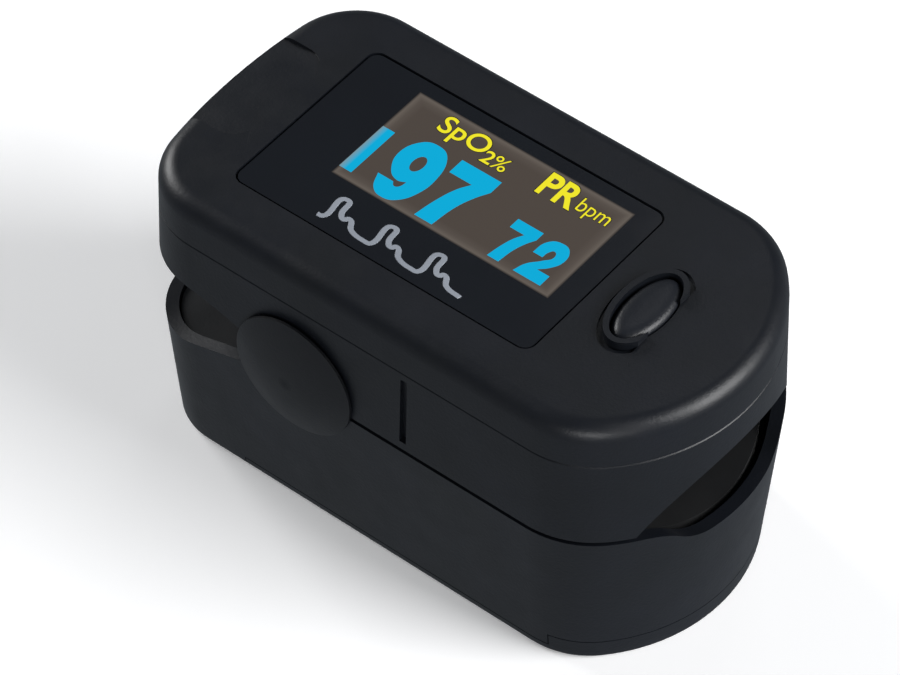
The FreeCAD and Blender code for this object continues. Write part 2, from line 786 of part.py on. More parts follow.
def torsion_spring(sign):
    """A coil on the hinge pin with two arms to the rear that push the jaws apart there."""
    wire = value("spring_wire")
    coil = value("spring_coil_radius")
    rise = math.radians(value("spring_upper_slope"))
    fall = math.radians(value("spring_lower_slope"))
    begin = math.pi / 2 - rise
    sweep = math.pi - rise - fall + 2 * math.pi * value("spring_turns")
    pitch = value("spring_pitch") * wire
    centre = V(value("pivot_x"), sign * (value("pin_inner_y + fit_gap") + wire / 2), value("pivot_z"))
    steps = int(sweep / math.radians(15))
    points = []
    for step in range(steps + 1):
        turn = sweep * step / steps
        along = sign * pitch * turn / (2 * math.pi)
        points.append(centre + V(coil * math.cos(begin - turn), along, coil * math.sin(begin - turn)))
    upper = V(-math.cos(rise), 0, math.sin(rise)) * (value("spring_upper_arm") / 8)
    lower = V(-math.cos(fall), 0, -math.sin(fall)) * (value("spring_lower_arm") / 8)
    start = [points[0] + upper * step for step in range(8, 0, -1)]
    end = [points[-1] + lower * step for step in range(1, 9)]
    return wire_solid(start + points + end, wire)


def wire_solid(points, thickness):
    """Round wire along a smooth curve through the points."""
    curve = Part.BSplineCurve()
    curve.interpolate(points)
    ring = Part.Circle(points[0], curve.tangent(0)[0], thickness / 2)
    spine = Part.Wire([curve.toShape()])
    return spine.makePipeShell([Part.Wire([ring.toShape()])], True)


def make_deck_screws():
    """Two short screws that hold the deck to the tub."""
    screws = []
    for name, sign in sides():
        radius = value("screw_radius")
        place_at = V(value("deck_screw_x"), sign * value("deck_screw_y"), value("deck_top_z"))
        shaft = Part.makeCylinder(radius, 4.5, place_at, V(0, 0, -1))
        head = Part.makeCylinder(value("screw_head_radius"), value("screw_head_height") - 0.2, place_at)
        screws.append(shaft.fuse(head).removeSplitter())
    coded("deck_screws", Part.makeCompound(screws))


def make_jaw_cable():
    """A thin flat cable from the main board down to the deck, bowed to the rear."""
    body = new_body("jaw_flex_cable")
    near = "cable_x - cable_thickness / 2"
    far = "cable_x + cable_thickness / 2"
    top = "board_z"
    bend_top = "bay_z - 2"
    bend_low = "deck_top_z + 1"
    low = "deck_z + 0.1"
    drop = "(bay_z - 3 - deck_top_z) / 2"
    arc = f"({drop} * {drop} + cable_bulge * cable_bulge) / (2 * cable_bulge)"
    pad(body, "XZ_Plane", "-cable_width / 2", "cable_width / 2",
        path((near, top), (near, bend_top, arc, "left"), (near, bend_low), (near, low), (far, low),
             (far, bend_low, arc, "right"), (far, bend_top), (far, top)))


def make_battery_door():
    """The bottom plate with a nose lip, a rear tongue, two hooked rails and finger grips."""
    body = new_body("battery_door")
    pad(body, "XY_Plane", "0", "lip_height", outline("bottom_inset"), taper="lower_draft")
    soften(body, level_edges(body, "0"), "bottom_edge_radius")
    cut(body, "XY_Plane", "lip_height", "door_thickness", box("-reach", "-reach", "lip_x", "reach"))
    cut(body, "XY_Plane", "lip_height", "door_thickness", outline("bottom_inset + wall"))
    cut(body, "XY_Plane", "0", "door_thickness",
        path(("door_rear_x", "reach"), ("-reach", "reach"), ("-reach", "-reach"), ("door_rear_x", "-reach"),
             ("door_rear_x", "-tongue_half"), ("tongue_rear_x", "-tongue_half"),
             ("tongue_rear_x", "tongue_half"), ("door_rear_x", "tongue_half")))
    under = "floor_thickness + slide_gap"
    rib = "rail_half - slide_gap - hook_web"
    side = "rail_half - slide_gap"
    top = f"{under} + hook_thickness"
    for name, sign in sides():
        turn = f"{sign} * "
        pad(body, "YZ_Plane", "door_rear_x + 1", "rail_front_x",
            path((f"{turn}({rib})", "door_thickness / 2"), (f"{turn}({side})", "door_thickness / 2"),
                 (f"{turn}({side})", under), (f"{turn}hook_half", under), (f"{turn}hook_half", top),
                 (f"{turn}({rib})", top)))
    for step in range(4):
        x = f"grip_x + {step} * grip_pitch"
        cut(body, "XY_Plane", "0", "grip_depth", centred(x, "0", "grip_width", "grip_length"))


# ---- upper jaw --------------------------------------------------------------------------


def corners():
    """The four screw places: a formula for X and one for Y."""
    return [(x, f"{sign} * screw_y") for x in ("screw_x_front", "screw_x_rear") for name, sign in sides()]


def make_upper_case():
    """The middle shell: electronics bay on top, finger tunnel and hinge ears below."""
    body = new_body("upper_case")
    pad(body, "XY_Plane", "upper_z", "seam_z", outline("0"), taper="-upper_draft")
    soften(body, level_edges(body, "seam_z"), "seam_chamfer", "Chamfer")
    cut(body, "XY_Plane", "seam_z", "bay_z", outline("upper_wall"))
    for x, y in corners():
        pad(body, "XY_Plane", "bay_z", "seam_z", circle(x, y, "boss_radius"))
    for x in ("board_x - board_length / 3", "board_x + board_length / 3"):
        for name, sign in sides():
            pad(body, "XY_Plane", "bay_z", "board_z", circle(x, f"{sign} * board_width / 4", "post_radius"))
    cut(body, "YZ_Plane", "tunnel_end_x", "reach", circle("0", "arch_z", "arch_radius"))
    hinge_front = "tunnel_end_x - tunnel_wall"
    cut(body, "XY_Plane", "upper_z", "bay_z - tunnel_wall",
        box("wedge_start_x", "-inner_ear_inner_y", hinge_front, "inner_ear_inner_y"))
    cut_rear_wedge(body)
    for name, sign in sides():
        add_inner_ear(body, sign)
        cut_side_core(body, sign)
        cut_side_groove(body, sign)
    for x, y in corners():
        cut(body, "XY_Plane", "0", "screw_head_z", circle(x, y, "screw_head_radius + fit_gap"))
        cut(body, "XY_Plane", "screw_head_z - 1", "seam_z", circle(x, y, "screw_radius"))
    cut(body, "XY_Plane", "arch_crown_z - 1", "bay_z",
        centred("optic_x", "0", "optic_length - 2 * optic_margin", "optic_width - 2 * optic_margin"))
    cut(body, "XY_Plane", "bay_z - 3", "bay_z", centred("cable_x", "0", "8 * cable_thickness", "cable_width + 1"))


def cut_rear_wedge(body):
    """Cut the rear underside to a curve that rises from the hinge and levels off."""
    cut(body, "XZ_Plane", "-reach", "reach",
        path(("wedge_start_x", "upper_z - 1"), ("wedge_start_x", "wedge_start_z", "wedge_arc_radius", "left"),
             ("wedge_bend_x", "wedge_bend_z"), ("-reach", "wedge_rear_z"), ("-reach", "upper_z - 1")))


def add_inner_ear(body, sign):
    """An ear inside the lower jaw's ear, and the round notch that the outer ear turns in."""
    low, high = span_y(sign, "inner_ear_inner_y", "inner_ear_outer_y")
    pad(body, "XZ_Plane", low, high, circle("pivot_x", "pivot_z", "inner_ear_radius"))
    pad(body, "XZ_Plane", low, high,
        box("pivot_x - inner_ear_radius", "pivot_z", "pivot_x + inner_ear_radius", "bay_z - tunnel_wall"))
    cut(body, "XZ_Plane", low, high, circle("pivot_x", "pivot_z", "pin_radius + pin_play"))
    low, high = span_y(sign, "inner_ear_outer_y", "reach")
    cut(body, "XZ_Plane", low, high, circle("pivot_x", "pivot_z", "outer_ear_radius + ear_clearance"))


def cut_side_core(body, sign):
    """Hollow out the thick side above the finger tunnel."""
    low, high = span_y(sign, "arch_radius - 1.6", "shell_width / 2 - upper_wall")
    cut(body, "XY_Plane", "bay_z", "upper_z + 2", box("tunnel_end_x + 3", low, "screw_x_front - 3", high))


def cut_side_groove(body, sign):
    """A narrow upright groove in the side wall."""
    depth = "shell_width / 2 - groove_depth - (groove_high_z - upper_z) * tan(upper_draft)"
    low, high = span_y(sign, depth, "reach")
    cut(body, "XZ_Plane", low, high, box("groove_x - groove_width / 2", "groove_low_z",
                                         "groove_x + groove_width / 2", "groove_high_z"))


def make_top_cover():
    """The top shell: window seat, button hole in its dish, and the thumb rest."""
    body = new_body("top_cover")
    pad(body, "XY_Plane", "seam_z", "shell_height", outline("cover_inset"), taper="-upper_draft")
    soften(body, level_edges(body, "shell_height"), "top_edge_radius")
    soften(body, level_edges(body, "seam_z"), "seam_chamfer", "Chamfer")
    cut(body, "XY_Plane", "seam_z", "ceiling_z", outline("upper_wall"))
    for x, y in corners():
        pad(body, "XY_Plane", "seam_z", "ceiling_z", circle(x, y, "boss_radius"))
        cut(body, "XY_Plane", "seam_z", "ceiling_z - 0.5", circle(x, y, "screw_radius"))
    cut(body, "XY_Plane", "shell_height", "window_low_z",
        rounded("window_x", "0", "window_length + 2 * window_gap", "window_width + 2 * window_gap",
                "window_corner"))
    cut(body, "XY_Plane", "window_low_z", "ceiling_z",
        rounded("window_x", "0", "opening_length", "opening_width", "window_corner"))
    add_key_collar(body)
    cut_thumb_rest(body)


def add_key_collar(body):
    """A raised collar round the rear half of the key, in a shallow dish, and the key's hole."""
    hole = ("button_half_width + button_gap", "button_half_length + button_gap")
    floor = "shell_height - dish_depth"
    cut(body, "XY_Plane", "shell_height", floor, oval("button_x", "dish_half_width", "dish_half_length"))
    pad(body, "XY_Plane", floor, "shell_height",
        box("collar_end_x", "-dish_half_length", "button_x + dish_half_width + wall", "dish_half_length"))
    pad(body, "XY_Plane", floor, "collar_top_z",
        oval("button_x", f"{hole[0]} + collar_width", f"{hole[1]} + collar_width"))
    cut(body, "XY_Plane", "collar_top_z", "shell_height",
        box("collar_end_x", "-dish_half_length", "button_x + dish_half_width + wall", "dish_half_length"))
    cut(body, "XY_Plane", "collar_top_z", "ceiling_z", oval("button_x", *hole))


def cut_thumb_rest(body):
    """A flat ramp down to the rear edge with round front corners."""
    half = "thumb_width / 2"
    turn = "thumb_corner"
    sketch = new_sketch(body, "XY_Plane", "shell_height", [
        path(("-reach / 2", f"-({half})"), (f"-{turn}", f"-({half})", turn, "left"),
             ("0", f"{turn} - {half}"), ("0", f"{half} - {turn}", turn, "left"),
             (f"-{turn}", half), ("-reach / 2", half))])
    sketch.setExpression("AttachmentOffset.Base.x", bound("thumb_x"))
    sketch.setExpression("AttachmentOffset.Rotation.Axis.y", "1")
    sketch.setExpression("AttachmentOffset.Rotation.Axis.z", "0")
    sketch.setExpression("AttachmentOffset.Rotation.Angle", bound("-thumb_slope"))
    sketch.recompute()
    before = body.Shape.Volume
    feature = body.newObject("PartDesign::Pocket", "thumb_rest")
    feature.Profile = sketch
    feature.Reversed = True
    feature.setExpression("Length", bound("top_edge_radius * 3"))
    refresh(body)
    if body.Shape.Volume >= before:
        raise ValueError("the thumb rest cut nothing")


def make_window():
    """The clear front plate and the black frame that glues it to the display."""
    body = new_body("display_window")
    pad(body, "XY_Plane", "window_low_z", "window_top_z",
        rounded("window_x", "0", "window_length", "window_width", "window_corner - window_gap"))
    frame = new_body("window_adhesive")
    pad(frame, "XY_Plane", "panel_top_z", "window_low_z",
        centred("panel_x", "0", "panel_length", "panel_width"),
        centred("panel_x", "0", "panel_length - 3", "panel_width - 3"))


def make_display():
    """The display glass, the holder that carries it on the board, and its folded flex."""
    body = new_body("oled_panel")
    pad(body, "XY_Plane", "panel_low_z", "panel_top_z",
        rounded("panel_x", "0", "panel_length", "panel_width", "0.4"))
    holder = new_body("display_holder")
    pad(holder, "XY_Plane", "board_top_z", "panel_low_z",
        centred("panel_x", "0", "panel_length", "panel_width"),
        centred("panel_x", "0", "panel_length - 2.4", "panel_width - 2.4"))
    flex = new_body("oled_flex")
    edge = "-(panel_width / 2) - 0.7"
    thin = "cable_thickness"
    pad(flex, "YZ_Plane", "panel_x - 4", "panel_x + 4",
        path(("-panel_width / 2", "panel_low_z + 0.4"), ("-panel_width / 2", f"panel_low_z + 0.4 + {thin}"),
             (edge, f"panel_low_z + 0.4 + {thin}"), (edge, "board_top_z"), (f"{edge} + {thin}", "board_top_z"),
             (f"{edge} + {thin}", "panel_low_z + 0.4")))


def make_board():
    """The main board and the parts soldered to it."""
    body = new_body("main_board")
    pad(body, "XY_Plane", "board_z", "board_top_z",
        rounded("board_x", "0", "board_length", "board_width", "board_corner"))
    cut(body, "XY_Plane", "board_z", "board_top_z",
        centred("cable_x", "0", "8 * cable_thickness", "cable_width + 1"))
    top = "board_top_z"
    under = "board_z - 0.7"
    group("board_chips", [
        block("controller_chip", "panel_x - 3", "-1", top, "7", "7", "0.9"),
        block("amplifier_chip", "panel_x + 6", "2.5", top, "4", "3", "0.9"),
        block("crystal", "panel_x + 6", "-4", top, "3.2", "1.5", "0.8"),
        block("converter_chip", "screw_x_rear + 2", "-3", top, "3", "3", "0.9"),
        block("inductor", "screw_x_rear + 1", "3", top, "4", "4", "1.6"),
        block("beeper_driver", "screw_x_front - 2", "6", under, "3", "3", "0.7"),
    ])
    size = "switch_size"
    switch = new_body("tact_switch")
    pad(switch, "XY_Plane", "board_top_z", "switch_top_z", rounded("button_x", "0", size, size, "0.5"))
    cut(switch, "XY_Plane", "plunger_low_z - button_travel - fit_gap", "switch_top_z",
        circle("button_x", "0", "plunger_radius + fit_gap"))
    disc("switch_plunger", "button_x", "0", "plunger_low_z", "plunger_radius", "plunger_height")


def make_button():
    """The oval power key: a domed cap through the cover and a flange that holds it in."""
    body = new_body("power_button")
    pad(body, "XY_Plane", "flange_low_z", "flange_top_z",
        oval("button_x", "button_half_width + button_flange", "button_half_length + button_flange"))
    pad(body, "XY_Plane", "flange_top_z", "key_top_z",
        oval("button_x", "button_half_width", "button_half_length"))
    soften(body, level_edges(body, "key_top_z"), "key_edge_radius")


def make_upper_finger_pad():
    """A soft arch under the tunnel roof with a stop for the fingertip at the rear."""
    body = new_body("upper_finger_pad")
    pad(body, "XY_Plane", "upper_pad_z", "arch_crown_z + 1", outline("pad_outline"))
    start = "tunnel_end_x + pad_gap"
    cut(body, "XY_Plane", "upper_pad_z", "arch_crown_z + 1", box("-reach", "-reach", start, "reach"))
    cut(body, "YZ_Plane", "-reach", "reach",
        circle("0", "arch_z", "reach"), circle("0", "arch_z", "upper_pad_radius"))
    cut(body, "YZ_Plane", f"{start} + pad_stop", "reach", circle("0", "arch_z", "upper_pad_inner"))
    cut(body, "XY_Plane", "upper_pad_crown_z - 1", "arch_crown_z + 1",
        centred("optic_x", "0", "optic_length + fit_gap", "optic_width + fit_gap"))


def make_emitter():
    """The light source above the finger, shining down through a clear window in the pad."""
    body = new_body("emitter_window")
    pad(body, "XY_Plane", "upper_pad_crown_z + fit_gap", "arch_crown_z - 0.35",
        rounded("optic_x", "0", "optic_length", "optic_width", "optic_margin"))
    inner = ("optic_length - 2 * optic_margin - fit_gap", "optic_width - 2 * optic_margin - fit_gap")
    block("emitter_leds", "optic_x", "0", "bay_z - 0.8", *inner, "0.8")
    block("emitter_board", "optic_x", "0", "bay_z", "optic_length + 2", "optic_width + 2", "0.5")


def make_cover_screws():
    """Four screws from below that pull the top cover onto the upper case."""
    screws = []
    for x, y in corners():
        seat = V(value(x), value(y), value("screw_head_z"))
        shaft = Part.makeCylinder(value("screw_radius"), value("screw_length"), seat)
        head = Part.makeCylinder(value("screw_head_radius"), value("screw_head_height"),
                                 seat - V(0, 0, value("screw_head_height")))
        screws.append(shaft.fuse(head).removeSplitter())
    coded("cover_screws", Part.makeCompound(screws))


# ---- build, check and write -------------------------------------------------------------

NODES = """
    lower_case lower_deck lower_finger_pad sensor_window photodiode sensor_board
    battery_left battery_right contact_springs contact_bridge contact_plates deck_screws
    hinge_pin_left hinge_pin_right hinge_cap_left hinge_cap_right
    torsion_spring_left torsion_spring_right jaw_flex_cable battery_door
    upper_case top_cover display_window window_adhesive oled_panel display_holder oled_flex
    main_board board_chips tact_switch upper_finger_pad emitter_window emitter_leds
    emitter_board cover_screws power_button switch_plunger
""".split()


def build():
    """Make every piece."""
    make_lower_case()
    make_lower_deck()
    make_lower_finger_pad()
    make_sensor()
    make_cells()
    make_contacts()
    make_deck_screws()
    make_hinge()
    make_jaw_cable()
    make_battery_door()
    make_upper_case()
    make_top_cover()
    make_window()
    make_display()
    make_board()
    make_button()
    make_upper_finger_pad()
    make_emitter()
    make_cover_screws()
    doc.recompute()


def check():
    """Stop if any object failed or any piece is empty or broken."""
    for item in doc.Objects:
        if "Invalid" in item.State or "Error" in item.State:
            raise ValueError(f"{item.Label} is {item.State}")
    for name in NODES:
        shape = piece(name).Shape
        if shape.isNull() or not shape.isValid() or not shape.Solids:
            raise ValueError(f"{name} has no valid solid")


def piece(name):
    """The document object of a node."""
    return doc.getObjectsByLabel(name)[0]


def write():
    """Write each piece to its own file."""
    os.makedirs("parts", exist_ok=True)
    for name in NODES:
        piece(name).Shape.exportStep(f"parts/{name}.step")


build()
check()
write()
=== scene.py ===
import json
import math

import bmesh
import bpy
from mathutils import Matrix, Vector

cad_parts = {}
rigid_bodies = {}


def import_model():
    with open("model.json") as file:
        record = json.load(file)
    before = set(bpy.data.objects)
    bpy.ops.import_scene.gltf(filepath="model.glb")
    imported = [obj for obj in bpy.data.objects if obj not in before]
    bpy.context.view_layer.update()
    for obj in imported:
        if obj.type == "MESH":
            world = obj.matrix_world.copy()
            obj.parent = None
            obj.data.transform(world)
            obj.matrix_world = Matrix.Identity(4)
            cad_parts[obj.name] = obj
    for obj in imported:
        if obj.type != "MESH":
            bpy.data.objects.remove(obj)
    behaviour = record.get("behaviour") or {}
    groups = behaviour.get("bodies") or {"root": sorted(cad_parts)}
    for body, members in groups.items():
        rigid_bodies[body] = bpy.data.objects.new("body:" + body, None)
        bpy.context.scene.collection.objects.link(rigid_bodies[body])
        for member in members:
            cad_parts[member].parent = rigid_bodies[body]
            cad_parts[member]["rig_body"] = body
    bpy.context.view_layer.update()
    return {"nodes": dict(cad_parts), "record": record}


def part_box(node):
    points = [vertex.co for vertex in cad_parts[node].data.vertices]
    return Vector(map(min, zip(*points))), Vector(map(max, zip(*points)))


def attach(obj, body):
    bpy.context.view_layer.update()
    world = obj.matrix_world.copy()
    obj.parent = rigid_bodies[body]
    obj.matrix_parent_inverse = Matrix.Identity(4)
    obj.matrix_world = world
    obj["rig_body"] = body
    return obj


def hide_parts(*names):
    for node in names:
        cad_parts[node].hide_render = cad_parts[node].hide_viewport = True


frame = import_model()

# A fingertip pulse oximeter: satin black ABS shells on a spring hinge, a glossy tinted window
# over a small display, an oval key and two silicone finger pads.  Metres; +X is the finger
# opening and +Z is up.

MM = 0.001
nodes = frame["nodes"]
scene = bpy.context.scene


# ---- camera, floor and light ----------------------------------------------------------------


CAMERA_AIM = Vector((6.39, -12.52, 31.32)) * MM
CAMERA_BACK = 381.3 * MM


def stand_camera():
    """A long lens that looks down on the near side, the nose and the top."""
    azimuth, elevation = math.radians(38.46), math.radians(48.6)
    back = Vector((math.sin(azimuth) * math.cos(elevation),
                   -math.cos(azimuth) * math.cos(elevation), math.sin(elevation)))
    lens = bpy.data.cameras.new("camera")
    lens.lens = 184
    lens.clip_start = 0.02
    lens.clip_end = 20
    stand = bpy.data.objects.new("camera", lens)
    stand.location = CAMERA_AIM + back * CAMERA_BACK
    stand.rotation_euler = (-back).to_track_quat("-Z", "Y").to_euler()
    scene.collection.objects.link(stand)
    scene.camera = stand


def soft_light(name, place, aim, size, power, colour=(1, 1, 1)):
    """A square softbox at a place, facing a point."""
    lamp = bpy.data.lights.new(name, "AREA")
    lamp.shape = "RECTANGLE"
    lamp.size, lamp.size_y = size
    lamp.energy = power
    lamp.color = colour
    box = bpy.data.objects.new(name, lamp)
    box.location = place
    box.rotation_euler = (Vector(aim) - Vector(place)).to_track_quat("-Z", "Y").to_euler()
    scene.collection.objects.link(box)


def node(tree, kind, inputs=None, **settings):
    """Add a shader node; inputs maps a socket to a value or to another node's output."""
    made = tree.nodes.new(kind)
    for name, setting in settings.items():
        setattr(made, name, setting)
    for socket, source in (inputs or {}).items():
        if isinstance(source, bpy.types.NodeSocket):
            tree.links.new(source, made.inputs[socket])
        else:
            made.inputs[socket].default_value = source
    return made


def srgb(text):
    """Linear RGBA of an sRGB hex colour."""
    parts = [int(text[i:i + 2], 16) / 255 for i in (1, 3, 5)]
    return [p / 12.92 if p <= 0.04045 else ((p + 0.055) / 1.055) ** 2.4 for p in parts] + [1.0]


# ---- finishes -------------------------------------------------------------------------------


TONE_DRIFT = 9 * MM   # how far apart the colour of a moulding changes
WORN_PATCH = 3 * MM   # the size of a patch that handling has polished
PIT_DEPTH = 0.03 * MM
BRUSH_DEPTH = 0.01 * MM


def start_material(name):
    """An empty node material with its output."""
    material = bpy.data.materials.new(name)
    material.use_nodes = True
    tree = material.node_tree
    tree.nodes.clear()
    return material, tree


def finish_material(tree, shader):
    """Join the surface shader to the output."""
    node(tree, "ShaderNodeOutputMaterial", {"Surface": shader.outputs[0]})


def moulded(name, colour, shade, rough, grain, depth, specular=0.5, coat=0.0, soft=0.0):
    """An injection moulding: colour mottled to a second shade over centimetres, a spark-eroded
    grain of a given size in millimetres pressed into its skin, and roughness that drifts where
    the grain is worn."""
    material, tree = start_material(name)
    place = node(tree, "ShaderNodeTexCoord")
    drift = node(tree, "ShaderNodeTexNoise", {
        "Vector": place.outputs["Object"], "Scale": 1 / TONE_DRIFT, "Detail": 3.0})
    tone = node(tree, "ShaderNodeValToRGB", {"Fac": drift.outputs["Fac"]})
    tone.color_ramp.elements[0].position = 0.35
    tone.color_ramp.elements[0].color = srgb(colour)
    tone.color_ramp.elements[1].position = 0.7
    tone.color_ramp.elements[1].color = srgb(shade)
    pits = node(tree, "ShaderNodeTexNoise", {
        "Vector": place.outputs["Object"], "Scale": 1 / (grain * MM), "Detail": 2.0,
        "Roughness": 0.6})
    wear = node(tree, "ShaderNodeTexNoise", {
        "Vector": place.outputs["Object"], "Scale": 1 / WORN_PATCH, "Detail": 4.0})
    polish = node(tree, "ShaderNodeMapRange", {
        "Value": wear.outputs["Fac"], "From Min": 0.3, "From Max": 0.7,
        "To Min": rough * 0.93, "To Max": rough * 1.1})
    bump = node(tree, "ShaderNodeBump", {
        "Height": pits.outputs["Fac"], "Strength": depth, "Distance": PIT_DEPTH})
    shader = node(tree, "ShaderNodeBsdfPrincipled", {
        "Base Color": tone.outputs["Color"], "Roughness": polish.outputs["Result"],
        "Normal": bump.outputs["Normal"], "Specular IOR Level": specular,
        "Coat Weight": coat, "Coat Roughness": 0.08, "Sheen Weight": soft,
        "Sheen Roughness": 0.5})
    finish_material(tree, shader)
    return material


# ---- the room -------------------------------------------------------------------------------


def dim_room():
    """A dim grey room for the gloss to mirror: darker above the horizon than below it."""
    room = bpy.data.worlds.new("studio")
    room.use_nodes = True
    tree = room.node_tree
    tree.nodes.clear()
    place = node(tree, "ShaderNodeTexCoord")
    axes = node(tree, "ShaderNodeSeparateXYZ", {"Vector": place.outputs["Generated"]})
    height = node(tree, "ShaderNodeMapRange", {
        "Value": axes.outputs["Z"], "From Min": -0.15, "From Max": 0.25, "To Min": 0.26,
        "To Max": 0.085})
    sky = node(tree, "ShaderNodeBackground", {
        "Color": (0.86, 0.93, 1.0, 1), "Strength": height.outputs["Result"]})
    node(tree, "ShaderNodeOutputWorld", {"Surface": sky.outputs[0]})
    scene.world = room


stand_camera()
scene.view_settings.view_transform = "Standard"
scene.view_settings.look = "None"
dim_room()
# A main box on the right, a weaker one on the left, a long low strip for the nose and a small
# one behind that warms the flat top towards the nose.
soft_light("right", (0.95, 0.35, 0.62), (0, 0, 0.02), (0.7, 0.7), 17)
soft_light("left", (-1.05, 0.05, 0.5), (0, 0, 0.02), (0.6, 0.5), 9)
soft_light("front", (0.62, -0.82, 0.35), (0, 0, 0.02), (0.5, 0.14), 4)
soft_light("nose", (-0.13, 0.36, 0.52), (0.02, -0.01, 0.031), (0.16, 0.16), 0.12)

FLOOR_REACH = 6.0
floor_mesh = bmesh.new()
bmesh.ops.create_grid(floor_mesh, x_segments=1, y_segments=1, size=FLOOR_REACH)
floor_data = bpy.data.meshes.new("floor")
floor_mesh.to_mesh(floor_data)
floor_mesh.free()
floor = bpy.data.objects.new("floor", floor_data)
scene.collection.objects.link(floor)
# White studio paper, lit evenly from behind: matt, so it holds only a soft shadow.
paper, paper_tree = start_material("studio_paper")
finish_material(paper_tree, node(paper_tree, "ShaderNodeBsdfPrincipled", {
    "Base Color": srgb("#FCFCFD"), "Roughness": 0.9, "Specular IOR Level": 0.1,
    "Emission Color": srgb("#FFFFFF"), "Emission Strength": 0.18}))
floor_data.materials.append(paper)
floor.visible_glossy = False

# Black ABS from a spark-eroded mould: satin, a cool black with a 0.3 mm grain.
shell_abs = moulded("abs_black_satin", "#0F1217", "#12151C", 0.40, 0.3, 0.6, 0.4)
# The key and the hinge caps are the same ABS from finer tools: a smoother, tighter sheen.
key_abs = moulded("abs_black_fine", "#16191F", "#191C22", 0.38, 0.2, 0.8, 0.4)
cap_abs = moulded("abs_black_cap", "#111317", "#15171B", 0.42, 0.25, 0.5, 0.4)
# Silicone rubber, moulded matt: darker, and dusty at grazing angles.
silicone = moulded("silicone_black", "#0B0C0E", "#0F1012", 0.62, 0.4, 0.3, 0.3, 0.0, 0.05)
# Cast acrylic, printed black behind: a hard gloss with only a faint waviness.
window_acrylic = moulded("acrylic_black", "#16181D", "#171A1F", 0.12, 6.0, 0.02, 0.5)
# ABS of the inner frames: a plain dark grey, duller than the shells.
inner_plastic = moulded("abs_inner", "#15171A", "#1A1C20", 0.5, 0.3, 0.3)
# Polished polycarbonate over the optics: glossy, and dark red from the filter in it.
clear_lens = moulded("polycarbonate_red", "#2A0A0C", "#330D0F", 0.12, 5.0, 0.02, 0.5)
# Glass-epoxy board under green solder mask: a soft shine over a coarse weave.
board_green = moulded("fr4_green", "#12402A", "#164B31", 0.4, 0.8, 0.4)
# Epoxy chip bodies: matt black with a fine grain.
chip_epoxy = moulded("epoxy_chip", "#141415", "#1A1A1B", 0.5, 0.15, 0.3)
# Polyimide film: a smooth amber sheet.
flex_film = moulded("polyimide_amber", "#8A4A12", "#9A5818", 0.3, 1.5, 0.2)
# Foam tape: dull, dark and open-pored.
tape = moulded("foam_tape", "#16161A", "#1C1C20", 0.8, 0.3, 0.5)
# Shrunk PVC jacket of a cell: blue, under a clear gloss.
cell_jacket = moulded("cell_jacket", "#1B3E78", "#204788", 0.25, 2.0, 0.05, 0.5, 0.4)


def plated(name, colour, rough, brush):
    """A metal: plated or bare, with fine lines from drawing or rolling."""
    material, tree = start_material(name)
    place = node(tree, "ShaderNodeTexCoord")
    lines = node(tree, "ShaderNodeTexNoise", {
        "Vector": place.outputs["Object"], "Scale": 1 / (brush * MM), "Detail": 3.0})
    drift = node(tree, "ShaderNodeMapRange", {
        "Value": lines.outputs["Fac"], "To Min": rough - 0.06, "To Max": rough + 0.08})
    bump = node(tree, "ShaderNodeBump", {
        "Height": lines.outputs["Fac"], "Strength": 0.15, "Distance": BRUSH_DEPTH})
    shader = node(tree, "ShaderNodeBsdfPrincipled", {
        "Base Color": srgb(colour), "Metallic": 1.0, "Roughness": drift.outputs["Result"],
        "Normal": bump.outputs["Normal"]})
    finish_material(tree, shader)
    return material


# Nickel-plated spring steel, and zinc-plated steel screws and pins.
nickel = plated("nickel_plated", "#C9C4B8", 0.25, 0.4)
steel = plated("steel_zinc", "#A9ABAE", 0.3, 0.3)

FINISHES = {
    "shell_abs": shell_abs, "key_abs": key_abs, "hinge_cap_abs": cap_abs,
    "window_acrylic": window_acrylic, "display_glass": window_acrylic, "silicone": silicone,
    "clear_lens": clear_lens, "board": board_green, "chip_epoxy": chip_epoxy,
    "flex_film": flex_film, "inner_plastic": inner_plastic, "adhesive": tape,
    "nickel_plate": nickel, "steel": steel, "cell_jacket": cell_jacket,
}


# ---- pieces carried over from the frame -----------------------------------------------------


SLOTS = {part["node"]: part["material_slot"] for part in frame["record"]["subparts"]}


WELD = 0.002 * MM     # joins the loose triangles of a node
SLIVER = 0.0005 * MM  # edges shorter than this are dissolved


def smoothed(name, angle=32):
    """A merged copy of a node's mesh with smooth curves and crisp edges."""
    source = nodes[name]
    mesh = source.data.copy()
    mesh.name = name + "_skin"
    work = bmesh.new()
    work.from_mesh(mesh)
    bmesh.ops.remove_doubles(work, verts=work.verts, dist=WELD)
    bmesh.ops.dissolve_degenerate(work, edges=work.edges, dist=SLIVER)
    for face in work.faces:
        face.smooth = True
    for edge in work.edges:
        edge.smooth = (len(edge.link_faces) == 2
                       and edge.calc_face_angle() < math.radians(angle))
    work.to_mesh(mesh)
    work.free()
    mesh.materials.clear()
    mesh.materials.append(FINISHES[SLOTS[name]])
    piece = bpy.data.objects.new(name + "_piece", mesh)
    scene.collection.objects.link(piece)
    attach(piece, source["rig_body"])
    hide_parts(name)


MADE_ANEW = ["power_button"]
for name in nodes:
    if name not in MADE_ANEW:
        smoothed(name)


# ---- display graphics -----------------------------------------------------------------------


# The graphics lie on the window's top, in mm from the display's near left corner.  Each is a
# thin closed sheet, and a graphic over another starts a step higher.
LAYER = 0.008 * MM
STEP = 0.012
glass_low, glass_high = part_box("display_window")
glass_top = glass_high.z
display_left = glass_low.x + 6.17 * MM
display_low = glass_low.y + 5.72 * MM
DISPLAY = (23.4, 12.2)
BORDER = 1.4 * MM     # the paler band along the display's border
BAR_FADE = 0.7 * MM   # the part of the level bar that pales
UNLIT = "#050505"
CYAN = "#00AEDD"
GLOW = 0.95


